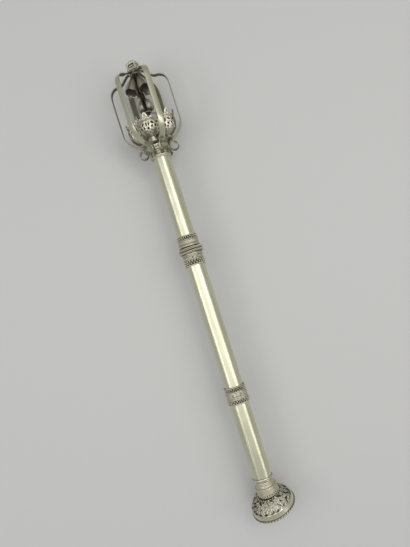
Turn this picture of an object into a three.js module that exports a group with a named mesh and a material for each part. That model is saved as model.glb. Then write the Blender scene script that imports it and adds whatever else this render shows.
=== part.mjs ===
// Ceremonial sceptre in silver: a plain three-section tube shaft with banded
// knots, a pierced bell foot that sits a little crooked on the shaft, and an
// open cage head of six hand-bent straps around four pierced calyx cups, a
// lobed bulb and four smooth bell flowers.
//
// Units are millimetres. The sceptre is drawn along its own axis: y runs from
// the foot end of the shaft (y = 0) to the head, x is to the right and z is
// up. Azimuths turn about that axis, 0 facing up and + to the right. The last
// lines lay the whole sceptre down on z = 0 with its head towards +Y.
import * as THREE from 'three';

// ---------------------------------------------------------------- sizes
const RAD = Math.PI / 180;
const GAP = 0.3;                 // left between pieces that touch

// shaft
const WALL = 0.9;
const R_LOWER = 10.95, R_MIDDLE = 10.75, R_UPPER = 10.35;
const Y_JOIN_1 = 99.2, Y_JOIN_2 = 271.2, Y_TUBE_TOP = 386.9;

// knots
const KNOT1 = [89.2, 109.5];     // lower knot, one collar
const KNOT2_LOW = [253.2, 267.6];
const KNOT2_ROPE = [268.0, 274.9];
const KNOT2_TOP = [275.3, 289.0];

// head
const R_CAGE = 35.0;             // middle of the strap's thickness
const STRAP_W = 6.9, STRAP_T = 1.3;
const VOLUTE_RHO = 18.6, VOLUTE_Y = 393.3, VOLUTE_R = 4.6;
const Y_BELLY = 423, Y_SHOULDER = 468;
const Y_STRAP_TOP = 482.6, Y_STRAP_HUB = 490.2;
const R_HUB = 7.0;
const Y_HUB = [486.4, 492.5];
const Y_FINIAL = 492.8, Y_TOP = 506.4;
const FINIAL_A = 11.6;           // side of the finial's square block
const FINIAL_TURN = -20;

// calyx cups
const CUP_R = 11.3;              // belly radius
const CUP_CROWN = 27.2;          // height of the crown's base above the tip
const CUP_FLEURON = 4.6;         // how far a fleuron stands above that
const CUP_WALL = 1.0;

// foot
const BEND_Z = 14, BEND_X = 10;   // final lean of the foot, down and sideways
const BEND_LEN = 15.5;           // the lean builds up over this length
const DOME_SHIFT = -2.2;         // the dome is soldered a little off centre
const R_RIM = 25.3, RIM_END = 35.4;

const SEG = 22;                  // facets round a turned piece

// ---------------------------------------------------------------- materials
const silver = (color, roughness) =>
  new THREE.MeshStandardMaterial({ color, roughness, metalness: 1.0 });
const SHAFT_SILVER = silver(0xd9d5c0, 0.22);
const STRAP_SILVER = silver(0xcfcab4, 0.30);
const CAST_SILVER = silver(0xb9b29a, 0.38);
const PIERCED_SILVER = silver(0xaea68e, 0.42);

const scepter = new THREE.Group();
function add(name, geometry, material, parent = scepter) {
  const mesh = new THREE.Mesh(geometry, material);
  mesh.name = name;
  parent.add(mesh);
  return mesh;
}

// ---------------------------------------------------------------- helpers
const v2 = (pairs) => pairs.map(([r, y]) => new THREE.Vector2(r, y));

// a ring turned from a closed outline, given up its outside and down its inside
function ring(pairs, seg = SEG) {
  return new THREE.LatheGeometry(v2([...pairs, pairs[0]]), seg);
}
// a form turned from an outline that starts and ends on the axis
function turned(pairs, seg = SEG) {
  return new THREE.LatheGeometry(v2(pairs), seg);
}
function warp(geometry, fn) {
  const p = geometry.attributes.position;
  const v = new THREE.Vector3();
  for (let i = 0; i < p.count; i++) {
    v.fromBufferAttribute(p, i);
    fn(v);
    p.setXYZ(i, v.x, v.y, v.z);
  }
  p.needsUpdate = true;
  geometry.computeVertexNormals();
  return geometry;
}
// points of a half-round bead on a turned outline, from y0 up to y1
function bead(r, y0, y1, proud, n = 3) {
  const out = [];
  for (let i = 0; i <= n; i++) {
    const a = Math.PI * i / n;
    out.push([r + proud * Math.sin(a), (y0 + y1) / 2 - (y1 - y0) / 2 * Math.cos(a)]);
  }
  return out;
}

// ---------------------------------------------------------------- shaft
function tube(y0, y1, r) {
  return ring([[r, y0], [r, y1], [r - WALL, y1], [r - WALL, y0]], SEG);
}
add('shaft_tube_lower', tube(0, Y_JOIN_1, R_LOWER), SHAFT_SILVER);
add('shaft_tube_middle', tube(Y_JOIN_1 + GAP, Y_JOIN_2, R_MIDDLE), SHAFT_SILVER);
add('shaft_tube_upper', tube(Y_JOIN_2 + GAP, Y_TUBE_TOP, R_UPPER), SHAFT_SILVER);

// bead round the foot end of the shaft
add('shaft_end_ring', ring([[R_LOWER + GAP, 1.0], ...bead(R_LOWER + 0.45, 1.1, 3.7, 0.75), [R_LOWER + GAP, 3.8]], SEG), CAST_SILVER);

// ---------------------------------------------------------------- knots
// a sleeve with a beaded border at each end round a plain or filigree waist
function knotCollar([y0, y1], inner, rWaist, rLow, rHigh, bandLow, bandHigh) {
  return ring([
    [inner, y0],
    ...bead(rLow, y0, y0 + bandLow, 0.75),
    [rWaist, y0 + bandLow + 0.6],
    [rWaist, y1 - bandHigh - 0.6],
    ...bead(rHigh, y1 - bandHigh, y1, 0.7),
    [inner, y1],
  ], SEG);
}
add('lower_knot_collar', knotCollar(KNOT1, R_LOWER + GAP, 11.95, 12.2, 11.8, 6.2, 5.4), CAST_SILVER);
add('upper_knot_lower_collar', knotCollar(KNOT2_LOW, R_MIDDLE + GAP, 11.7, 11.5, 11.45, 5.4, 1.8), CAST_SILVER);
add('upper_knot_upper_collar', knotCollar(KNOT2_TOP, R_MIDDLE + GAP, 11.55, 11.6, 11.3, 2.8, 4.4), CAST_SILVER);

// two twisted wires wound side by side between the collars
{
  const [y0, y1] = KNOT2_ROPE, mid = (y0 + y1) / 2, r = 12.7;
  const lobe = (a, b) => bead(r, a, b, 1.85, 4);
  add('upper_knot_rope_ring', ring([
    [R_MIDDLE + GAP, y0], ...lobe(y0, mid - 0.1), ...lobe(mid + 0.1, y1), [R_MIDDLE + GAP, y1],
  ], SEG), CAST_SILVER);
}

// ---------------------------------------------------------------- neck
// beaded collar, waist and gadrooned seat in one turned piece, with a shallow
// socket that the shaft enters
{
  const y0 = 383.7, socket = Y_TUBE_TOP + GAP, rIn = R_UPPER + GAP;
  const g = turned([
    [0, socket], [rIn, socket], [rIn, y0],
    ...bead(10.9, y0 + 0.1, y0 + 3.4, 0.75),
    [10.8, y0 + 4.2], [10.35, y0 + 8.2], [9.7, y0 + 9.6],
    [10.3, 395.6], [11.9, 398.3], [11.9, 399.3], [8.4, 400.9], [4.2, 404.6], [3.0, 408.6], [0, 408.6],
  ], 30);
  // gadroons on the flare under the cups
  warp(g, (p) => {
    const r = Math.hypot(p.x, p.z);
    if (p.y > 395 && p.y < 400 && r > 9) {
      const k = 1 + 0.035 * Math.cos(10 * Math.atan2(p.x, p.z));
      p.x *= k; p.z *= k;
    }
  });
  add('head_collar', g, CAST_SILVER);
}

// ---------------------------------------------------------------- stem
{
  const y0 = 408.9, rod = 3.0, b0 = 440.5, b1 = 456.0, rb = 10.2;
  const pts = [[0, y0], [rod, y0], [rod, b0 - 1.2], [4.6, b0]];
  const n = 7;
  for (let i = 1; i < n; i++) {
    const t = i / n;
    // fuller below, drawn in towards the waist above
    const r = 4.4 + (rb - 4.4) * Math.pow(Math.sin(Math.PI * Math.pow(t, 0.82)), 0.75);
    pts.push([r, b0 + (b1 - b0) * t]);
  }
  pts.push([4.0, b1], [3.0, b1 + 2.5], [2.6, 470], [3.2, 478], [3.2, Y_HUB[0] - GAP], [0, Y_HUB[0] - GAP]);
  const g = turned(pts, 16);
  // four lobes parted by grooves, one groove facing the front
  warp(g, (p) => {
    if (p.y > b0 + 0.5 && p.y < b1 - 0.5) {
      const a = Math.atan2(p.x, p.z);
      const k = 1 - 0.22 * Math.pow(Math.abs(Math.cos(2 * (a + 3 * RAD))), 10);
      p.x *= k; p.z *= k;
    }
  });
  add('central_stem', g, CAST_SILVER);
}

// ---------------------------------------------------------------- cups
// outline of a pierced calyx cup, tip down, as height above the tip and radius
// stalk: how long the narrow part over the tip is
function cupGeometry(rBelly, stalk) {
  const k = rBelly / 11.3, d = stalk - 5.6;
  const outer = [
    [0, 0], [2.7, 0.9], [2.8, stalk], [6.6, 8.3 + d], [9.6, 11.4 + d * 0.85],
    [11.3, 16.4 + d * 0.4], [11.1, 21.2], [10.7, 22.6], [11.6, CUP_CROWN],
  ].map(([r, s]) => [r * k, s]);
  const inner = [
    [11.6 - CUP_WALL, CUP_CROWN], [9.7, 22.6], [10.2, 16.8 + d * 0.4], [8.1, 11.9 + d * 0.85], [0, 9.0 + d],
  ].map(([r, s]) => [r * k, s]);
  const g = turned([...outer, ...inner], 18);
  // six fleurons round the rim, one of them facing the front
  const step = [1, 0.12, 0.12];
  warp(g, (p) => {
    if (p.y > CUP_CROWN - 0.05) {
      const i = Math.round(Math.atan2(p.x, p.z) / (Math.PI / 9)) + 18;
      p.y += CUP_FLEURON * step[i % 3];
    }
  });
  return g;
}
// cup: azimuth, tip height, tip radius from the axis, outward lean, belly
// radius, stalk length
const CUPS = {
  calyx_cup_front: [-7.6, 401.0, 14.3, 8, 11.6, 5.6],
  calyx_cup_right: [82.4, 403.6, 16.1, 3, 11.3, 2.2],
  calyx_cup_back: [172.4, 402.4, 16.0, 4, 11.2, 4.0],
  calyx_cup_left: [-97.6, 403.2, 16.1, 3, 11.3, 2.2],
};
for (const [name, [az, y, rho, lean, rBelly, stalk]] of Object.entries(CUPS)) {
  const spot = new THREE.Group();
  spot.rotation.y = az * RAD;
  const mesh = add(name, cupGeometry(rBelly, stalk), PIERCED_SILVER, spot);
  mesh.position.set(0, y, rho);
  mesh.rotation.x = lean * RAD;
  scepter.add(spot);
}

// ---------------------------------------------------------------- bells
function bellGeometry() {
  // mouth at y = 0, apex up
  const h = 21, rm = 7.4, w = 0.9;
  const flare = (t) => rm * (0.36 + 0.64 * Math.pow(Math.cos(t * Math.PI / 2), 0.85)) * (1 - 0.12 * t);
  const n = 5, outer = [], inner = [];
  for (let i = 0; i <= n; i++) {
    const t = i / n;
    outer.push([flare(t) * (i === 0 ? 1.05 : 1), h * 0.86 * t]);
    if (t <= 0.85) inner.unshift([flare(t) * (i === 0 ? 1.05 : 1) - w, h * 0.86 * t]);
  }
  return turned([[0, h * 0.76], ...inner, ...outer, [1.5, h * 0.95], [0, h]], 12);
}
// bell: azimuth, mouth height, mouth radius from the axis, outward tilt
const BELLS = {
  bell_flower_front_left: [-52, 465.8, 13.4, 24],
  bell_flower_front_right: [30, 465.6, 12.2, 21],
  bell_flower_back_right: [122, 466.0, 13.0, 23],
  bell_flower_back_left: [-142, 465.6, 13.0, 23],
};
for (const [name, [az, y, rho, tilt]] of Object.entries(BELLS)) {
  const spot = new THREE.Group();
  spot.rotation.y = az * RAD;
  const mesh = add(name, bellGeometry(), CAST_SILVER, spot);
  mesh.position.set(0, y, rho);
  mesh.rotation.x = -tilt * RAD;
  scepter.add(spot);
}

// ---------------------------------------------------------------- cage
// middle line of a strap as distance from the axis and height: a volute rolled
// outwards at the foot, a shallow run out, a straight back, a round shoulder
// and a run in to the hub
function strapLine(rCage, lift) {
  const shoulder = Y_SHOULDER + lift, top = Y_STRAP_TOP + lift;
  const pts = [];
  const a0 = 120, a1 = 442, n = 16;
  for (let i = 0; i <= n; i++) {
    const a = a1 + (a0 - a1) * i / n;
    const r = VOLUTE_R + 2.0 * Math.exp(-(a - a0) / 32);
    pts.push(new THREE.Vector2(VOLUTE_RHO + r * Math.cos(a * RAD), VOLUTE_Y + r * Math.sin(a * RAD)));
  }
  const run = new THREE.Path();
  const p = pts[pts.length - 1];
  run.moveTo(p.x, p.y);
  run.lineTo(p.x + 6.4 * Math.cos(30 * RAD), p.y + 6.4 * Math.sin(30 * RAD));
  const q = run.currentPoint;
  run.bezierCurveTo(q.x + 8 * Math.cos(30 * RAD), q.y + 8 * Math.sin(30 * RAD), rCage, Y_BELLY - 9, rCage, Y_BELLY);
  run.lineTo(rCage, shoulder);
  run.bezierCurveTo(rCage, shoulder + 9.5, rCage - 4, top, rCage - 13, top);
  run.bezierCurveTo(16.5, top + 0.3, 12.5, Y_STRAP_HUB - 0.4, R_HUB + GAP + 0.1, Y_STRAP_HUB);
  // straight stretches need one step, curved ones five
  for (const c of run.curves) {
    const k = c instanceof THREE.LineCurve ? 1 : 5;
    for (let i = 1; i <= k; i++) pts.push(c.getPoint(i / k));
  }
  return pts;
}
function strapGeometry(rCage, lift, thick) {
  const line = strapLine(rCage, lift);
  const left = [], right = [];
  for (let i = 0; i < line.length; i++) {
    const a = line[Math.max(i - 1, 0)], b = line[Math.min(i + 1, line.length - 1)];
    const t = b.clone().sub(a).normalize();
    const n = new THREE.Vector2(-t.y, t.x).multiplyScalar(thick / 2);
    left.push(line[i].clone().add(n));
    right.push(line[i].clone().sub(n));
  }
  const g = new THREE.ExtrudeGeometry(new THREE.Shape([...right, ...left.reverse()]),
    { depth: STRAP_W, bevelEnabled: false, steps: 1 });
  g.translate(0, 0, -STRAP_W / 2);
  return g;
}
// how far below the axis a strap's outer corner reaches
const reach = (az, r) => (r + STRAP_T / 2) * Math.abs(Math.cos(az * RAD)) + STRAP_W / 2 * Math.abs(Math.sin(az * RAD));
const AZ_BACK_LEFT = -155.5, AZ_BACK_RIGHT = 149.5;
// the right one of the two straps that the head lies on is bent out until both touch
const R_BACK_RIGHT = (reach(AZ_BACK_LEFT, R_CAGE) - STRAP_W / 2 * Math.abs(Math.sin(AZ_BACK_RIGHT * RAD)))
  / Math.abs(Math.cos(AZ_BACK_RIGHT * RAD)) - STRAP_T / 2;
// strap: azimuth, radius of the cage there, how far its top is bent up, thickness
const STRAPS = {
  strap_front_left: [-37.6, R_CAGE, 2.2, STRAP_T],
  strap_front_right: [22.4, R_CAGE, 2.2, STRAP_T],
  strap_right: [84.5, R_CAGE - 0.2, -3.0, STRAP_T - 0.1],
  strap_back_right: [AZ_BACK_RIGHT, R_BACK_RIGHT, 0, STRAP_T],
  strap_back_left: [AZ_BACK_LEFT, R_CAGE, 0, STRAP_T],
  strap_left: [-93.5, R_CAGE + 0.4, -2.6, STRAP_T - 0.1],
};
for (const [name, [az, r, lift, thick]] of Object.entries(STRAPS)) {
  add(name, strapGeometry(r, lift, thick), STRAP_SILVER).rotation.y = (az - 90) * RAD;
}

// ---------------------------------------------------------------- hub, finial
add('cage_hub', turned([[0, Y_HUB[0]], [4.6, Y_HUB[0]], [R_HUB, Y_HUB[0] + 1.6], [R_HUB, Y_HUB[1] - 0.4], [6.4, Y_HUB[1]], [0, Y_HUB[1]]], 24), CAST_SILVER);
{
  const c = FINIAL_A / Math.SQRT2;       // corner radius of the block
  add('finial_block', turned([
    [0, Y_FINIAL], [c + 1.1, Y_FINIAL], [c + 1.1, Y_FINIAL + 1.7], [c, Y_FINIAL + 2.2],
    [c, Y_TOP - 5.6], [c + 0.5, Y_TOP - 5.2], [c + 0.5, Y_TOP - 4.4], [c * 0.66, Y_TOP - 2.6], [c * 0.28, Y_TOP - 0.6], [0, Y_TOP],
  ], 4), CAST_SILVER).rotation.y = (FINIAL_TURN + 45) * RAD;
}

// ---------------------------------------------------------------- foot
// frame of the bent foot at a distance s below the shaft's end
function footFrame(s) {
  const lean = (q) => Math.min(Math.max(q / BEND_LEN, 0), 1);
  const dir = (q) => {
    const a = BEND_Z * RAD * lean(q), b = BEND_X * RAD * lean(q);
    return { n: new THREE.Vector3(Math.sin(b) * Math.cos(a), -Math.cos(b) * Math.cos(a), -Math.sin(a)),
      x: new THREE.Vector3(Math.cos(b), Math.sin(b), 0) };
  };
  const c = new THREE.Vector3();
  const steps = 40;
  for (let i = 0; i < steps; i++) c.addScaledVector(dir(s * (i + 0.5) / steps).n, s / steps);
  const { n, x } = dir(s);
  const y = n.clone().negate();
  return { c, x, y, z: new THREE.Vector3().crossVectors(x, y) };
}
// moves a piece turned about the straight axis, drawn with y = -s, to the bent one
function bend(geometry, shift = 0) {
  return warp(geometry, (p) => {
    const f = footFrame(-p.y), { x, z } = p;
    p.copy(f.c).addScaledVector(f.x, x + shift).addScaledVector(f.z, z);
  });
}
// ribbed filigree collar under the shaft's end
add('foot_collar', bend(ring([
  [9.3, -15.4],
  ...bead(11.9, -15.4, -13.4, 0.6, 3), [12.1, -12.6],
  ...bead(12.0, -12.2, -6.4, 0.35, 3),
  ...bead(10.4, -5.6, -3.6, 0.45, 3), ...bead(10.3, -3.2, -0.9, 0.4, 3),
  [9.3, -0.5],
], SEG)), CAST_SILVER);

// pierced bell foot with a plain band, hollow and open below
const DOME = [[12.6, 16.6], [14.9, 17.4], [17.8, 19.3], [20.6, 21.7], [22.9, 24.7], [24.4, 28.2], [25.0, 32.7]];
{
  const w = 1.1;
  const outer = DOME.map(([r, s]) => [r, -s]).reverse();
  const inner = [[9.6, -16.6], [9.6, -17.8], [14.2, -18.5], [20.0, -23.1], [22.9, -27.4], [25.0 - w, -32.7]];
  add('foot_dome', bend(ring([...outer, ...inner], 28), DOME_SHIFT), PIERCED_SILVER);
}
// twisted wire round the foot's lip, flat below
add('foot_rim_rope', bend(ring([
  [R_RIM - 1.6, -RIM_END], [R_RIM + 0.6, -RIM_END], [R_RIM + 1.0, 1.2 - RIM_END], [R_RIM + 0.6, 2.2 - RIM_END], [R_RIM - 1.4, 2.4 - RIM_END],
], 28), DOME_SHIFT), CAST_SILVER);

// ---------------------------------------------------------------- lay it down
// the foot's rim and the two lower straps touch z = 0; the origin is under the
// middle of the whole sceptre
function lowest(filter) {
  const v = new THREE.Vector3(), out = new THREE.Vector3(0, 0, Infinity);
  scepter.traverse((m) => {
    if (!m.isMesh || !filter(m.name)) return;
    const p = m.geometry.attributes.position;
    for (let i = 0; i < p.count; i++) {
      v.fromBufferAttribute(p, i).applyMatrix4(m.matrixWorld);
      if (v.z < out.z) out.copy(v);
    }
  });
  return out;
}
const part = new THREE.Group();
part.add(scepter);
let slope = 0;
for (let i = 0; i < 6; i++) {
  scepter.rotation.x = slope;
  part.updateMatrixWorld(true);
  const foot = lowest((n) => n.startsWith('foot')), head = lowest((n) => n.startsWith('strap'));
  slope += Math.atan2(foot.z - head.z, head.y - foot.y);
}
scepter.rotation.x = slope;
part.updateMatrixWorld(true);
const box = new THREE.Box3().setFromObject(part, true);
scepter.position.set(-(box.min.x + box.max.x) / 2, -(box.min.y + box.max.y) / 2, -box.min.z);
part.updateMatrixWorld(true);

export default part;
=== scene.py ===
# The looks of a silver ceremonial sceptre lying on a pale surface.
# Every piece is drawn in the sceptre's own axes in millimetres (x right, y
# from the foot end of the shaft towards the head, z up) and then placed on the
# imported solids, whose shaft gives those axes in the shared frame.
import math

import bpy
import numpy as np
from mathutils import Matrix, Vector

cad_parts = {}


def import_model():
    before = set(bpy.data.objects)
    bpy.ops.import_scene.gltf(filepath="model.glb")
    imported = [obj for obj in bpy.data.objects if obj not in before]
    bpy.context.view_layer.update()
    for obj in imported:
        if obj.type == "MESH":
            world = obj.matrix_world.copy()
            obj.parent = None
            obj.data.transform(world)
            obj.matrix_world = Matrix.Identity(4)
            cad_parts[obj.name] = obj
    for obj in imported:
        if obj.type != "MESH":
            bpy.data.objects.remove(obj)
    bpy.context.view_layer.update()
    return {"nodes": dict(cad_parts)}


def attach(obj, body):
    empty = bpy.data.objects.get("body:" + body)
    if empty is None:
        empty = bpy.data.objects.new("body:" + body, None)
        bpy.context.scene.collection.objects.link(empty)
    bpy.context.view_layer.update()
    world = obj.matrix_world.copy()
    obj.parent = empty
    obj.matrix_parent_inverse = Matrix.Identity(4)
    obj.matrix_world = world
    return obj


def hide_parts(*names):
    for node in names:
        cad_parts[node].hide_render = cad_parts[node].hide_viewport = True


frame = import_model()
NODES = frame["nodes"]
RAD = math.pi / 180
TAU = 2 * math.pi


# ------------------------------------------------------------ own axes
def node_verts(name):
    me = NODES[name].data
    co = np.empty(len(me.vertices) * 3, np.float32)
    me.vertices.foreach_get("co", co)
    return co.reshape(-1, 3).astype(float)


def end_centre(name, top):
    v = node_verts(name)
    y = v[:, 1]
    e = v[y > y.max() - 4e-4] if top else v[y < y.min() + 4e-4]
    return (e.min(0) + e.max(0)) / 2


ORIGIN = end_centre("shaft_tube_lower", False)
_top = end_centre("shaft_tube_upper", True)
EY = (_top - ORIGIN) / np.linalg.norm(_top - ORIGIN)
EX = np.array([1.0, 0.0, 0.0])
EX = EX - EY * (EX @ EY)
EX /= np.linalg.norm(EX)
EZ = np.cross(EX, EY)
AXES = np.stack([EX, EY, EZ])


def world(p):
    return ORIGIN + (np.asarray(p, float) @ AXES) * 0.001


# ------------------------------------------------------------ mesh helpers
def grid_faces(nu, nv, wrap_u=False, wrap_v=False):
    u, v = np.meshgrid(
        np.arange(nu if wrap_u else nu - 1), np.arange(nv if wrap_v else nv - 1), indexing="ij"
    )
    u2, v2 = (u + 1) % nu, (v + 1) % nv
    return np.stack([u * nv + v, u2 * nv + v, u2 * nv + v2, u * nv + v2], -1).reshape(-1, 4)


def as_tris(f):
    f = np.asarray(f)
    if f.shape[1] == 3:
        return f
    return np.concatenate([f[:, [0, 1, 2]], f[:, [0, 2, 3]]])


def outward(v, f):
    """the faces, turned so that the closed part's volume is positive"""
    t = as_tris(f)
    vol = np.einsum("ij,ij->i", v[t[:, 0]], np.cross(v[t[:, 1]], v[t[:, 2]])).sum()
    return f if vol > 0 else f[:, ::-1]


def closed(v, f, dark=0.0):
    """one closed part of a piece: points, faces, tarnish and painted shade per point"""
    v = np.asarray(v, float)
    d = np.broadcast_to(np.asarray(dark, float), (len(v),)).copy()
    return v, outward(v, f), d


def make(name, parts, material, nodes, sharp=35):
    vs, fs, ds, n = [], [], [], 0
    for v, f, d in parts:
        vs.append(v)
        fs.extend((np.asarray(f) + n).tolist())
        ds.append(d)
        n += len(v)
    me = bpy.data.meshes.new(name)
    me.from_pydata(world(np.concatenate(vs)).tolist(), [], fs)
    me.update()
    # the dark attribute holds each point's tarnish and painted shade for the material
    a = me.attributes.new("dark", "FLOAT", "POINT")
    a.data.foreach_set("value", np.clip(np.concatenate(ds), 0, 1).astype(np.float32))
    me.polygons.foreach_set("use_smooth", np.ones(len(me.polygons), bool))
    me.set_sharp_from_angle(angle=sharp * RAD)
    me.materials.append(material)
    o = bpy.data.objects.new(name, me)
    bpy.context.scene.collection.objects.link(o)
    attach(o, "root")
    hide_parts(*nodes)
    return o


def smooth_noise(shape, cells, seed, wrap0=False):
    """soft seeded noise on a grid, about -1 to 1"""
    g = np.random.default_rng(seed)
    a, b = cells
    k = g.uniform(-1, 1, (a + (0 if wrap0 else 3), b + 3))
    i = np.linspace(0, a, shape[0], endpoint=not wrap0)
    j = np.linspace(0, b, shape[1])
    i0, j0 = np.floor(i).astype(int), np.floor(j).astype(int)
    ti, tj = i - i0, j - j0
    ti, tj = ti * ti * (3 - 2 * ti), tj * tj * (3 - 2 * tj)
    i1 = (i0 + 1) % a if wrap0 else i0 + 1
    i0 = i0 % a if wrap0 else i0
    r0 = k[np.ix_(i0, j0)] * (1 - tj) + k[np.ix_(i0, j0 + 1)] * tj
    r1 = k[np.ix_(i1, j0)] * (1 - tj) + k[np.ix_(i1, j0 + 1)] * tj
    return r0 * (1 - ti[:, None]) + r1 * ti[:, None]


def hollows(h, cu, cv, reach=0.7, depth=0.3, wrap=True):
    """tarnish and painted shade where a relief h lies under its own surroundings; cu, cv are the cell's sides"""
    ku, kv = max(1, int(round(reach / cu))), max(1, int(round(reach / cv)))
    b = h.copy()
    for _ in range(2):
        acc = np.zeros_like(b)
        for s in range(-ku, ku + 1):
            acc += np.roll(b, s, 0)
        b = acc / (2 * ku + 1)
        pad = np.pad(b, ((0, 0), (kv, kv)), mode="edge")
        b = sum(pad[:, i : i + h.shape[1]] for i in range(2 * kv + 1)) / (2 * kv + 1)
    return np.clip((b - h) / depth + 0.08, 0, 1)


def ball(c, r, seg=8, rings=6, dark=0.0, axis=None, squash=1.0):
    """a granule of solder silver"""
    th = np.arange(seg) / seg * TAU
    ph = np.arange(1, rings) / rings * math.pi
    p = np.stack(
        [
            np.outer(np.sin(th), np.sin(ph)),
            np.outer(np.ones(seg), np.cos(ph)),
            np.outer(np.cos(th), np.sin(ph)),
        ],
        -1,
    ).reshape(-1, 3)
    v = np.concatenate([p, [[0, 1, 0], [0, -1, 0]]]) * r
    v[:, 1] *= squash
    f = grid_faces(seg, rings - 1, True).tolist()
    a, b, m = seg * (rings - 1), seg * (rings - 1) + 1, rings - 1
    t = [[i * m, ((i + 1) % seg) * m, a, a] for i in range(seg)]
    t += [[((i + 1) % seg) * m + m - 1, i * m + m - 1, b, b] for i in range(seg)]
    f = np.array(f)
    tri = np.array([q[:3] for q in t])
    allf = np.concatenate([as_tris(f), tri])
    return closed(v + np.asarray(c, float), allf, dark)


# profile relief round a turned piece -------------------------------------
def wire(th, y, yc, w, a, n, lean=1.0, cut=0.5):
    """a twisted wire soldered round at height yc, half-width w"""
    t = np.clip((y - yc) / w, -1, 1)
    body = np.sqrt(1 - t * t)
    g = 0.5 + 0.5 * np.cos(n * th + lean * t * 2.2)
    return a * body * (1 - cut + cut * np.sqrt(g))


def cord(y, yc, w, a):
    t = np.clip((y - yc) / w, -1, 1)
    return a * np.sqrt(1 - t * t)


def beads(th, y, yc, r, n, big_r, phase=0.0, height=None):
    d = ((th / TAU * n + phase) % 1 - 0.5) * TAU / n * big_r
    q = np.clip(r * r - d * d - (y - yc) ** 2, 0, None)
    return np.sqrt(q) * ((height or r) / r)


def rosette(th, y, tc, yc, big_r, r=2.2):
    """a little wire ring with a granule in it"""
    dx = ((th - tc + math.pi) % TAU - math.pi) * big_r
    d = np.hypot(dx, y - yc)
    ring_h = np.sqrt(np.clip(0.55**2 - (d - r + 0.55) ** 2, 0, None)) * 1.1
    grain = np.sqrt(np.clip(0.85**2 - d**2, 0, None)) * 0.9
    return np.maximum(ring_h, grain)


def sleeve(profile, r_in, relief, ny, nth, dent=0.0, seed=1, place=None, depth=0.3):
    """a turned ring: outside profile [(y, r)...] with relief(th, y) on it, plain inside"""
    py, pr = np.array(profile, float).T
    y = np.linspace(py[0], py[-1], ny)
    th = np.arange(nth) / nth * TAU
    base = np.interp(y, py, pr)
    T, Y = np.meshgrid(th, y, indexing="ij")
    h = relief(T, Y)
    # tarnish and painted shade in the relief's hollows
    dark = hollows(h, TAU * base.mean() / nth, y[1] - y[0], depth=depth)
    if dent:
        h = h + dent * smooth_noise(h.shape, (9, max(2, ny // 14)), seed, True)
    r = base[None, :] + h
    out = np.stack([r * np.sin(T), Y, r * np.cos(T)], -1)
    ends = []
    for yy in (y[-1], y[0]):
        ends.append(np.stack([r_in * np.sin(th), np.full(nth, yy), r_in * np.cos(th)], -1))
    p = np.concatenate([out, np.stack(ends, 1)], 1)
    # the bore and the inner edges of the ends are painted shade (0.6)
    d = np.concatenate([dark, np.full((nth, 2), 0.6)], 1)
    v = p.reshape(-1, 3)
    if place is not None:
        v = place(v)
    return closed(v, grid_faces(nth, ny + 2, True, True), d.reshape(-1))


def solid_of_turn(profile, nth, warp=None, dark=None):
    """a form turned from [(y, r)...] that is closed on the axis at both ends"""
    py, pr = np.array(profile, float).T
    th = np.arange(nth) / nth * TAU
    T, Y = np.meshgrid(th, py, indexing="ij")
    r = np.broadcast_to(pr, T.shape).copy()
    if warp is not None:
        r = warp(T, Y, r)
    p = np.stack([r * np.sin(T), Y, r * np.cos(T)], -1)
    n = len(py)
    v = np.concatenate([p.reshape(-1, 3), [[0, py[0], 0], [0, py[-1], 0]]])
    q = as_tris(grid_faces(nth, n, True))
    i = np.arange(nth)
    j = (i + 1) % nth
    a, b = nth * n, nth * n + 1
    caps = np.concatenate(
        [np.stack([j * n, i * n, np.full(nth, a)], 1), np.stack([i * n + n - 1, j * n + n - 1, np.full(nth, b)], 1)]
    )
    d = np.zeros(T.shape) if dark is None else dark(T, Y, r)
    # the two end points on the axis get a painted shade of 0.3
    return closed(v, np.concatenate([q, caps]), np.concatenate([np.clip(d, 0, 1).reshape(-1), [0.3, 0.3]]))


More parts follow.
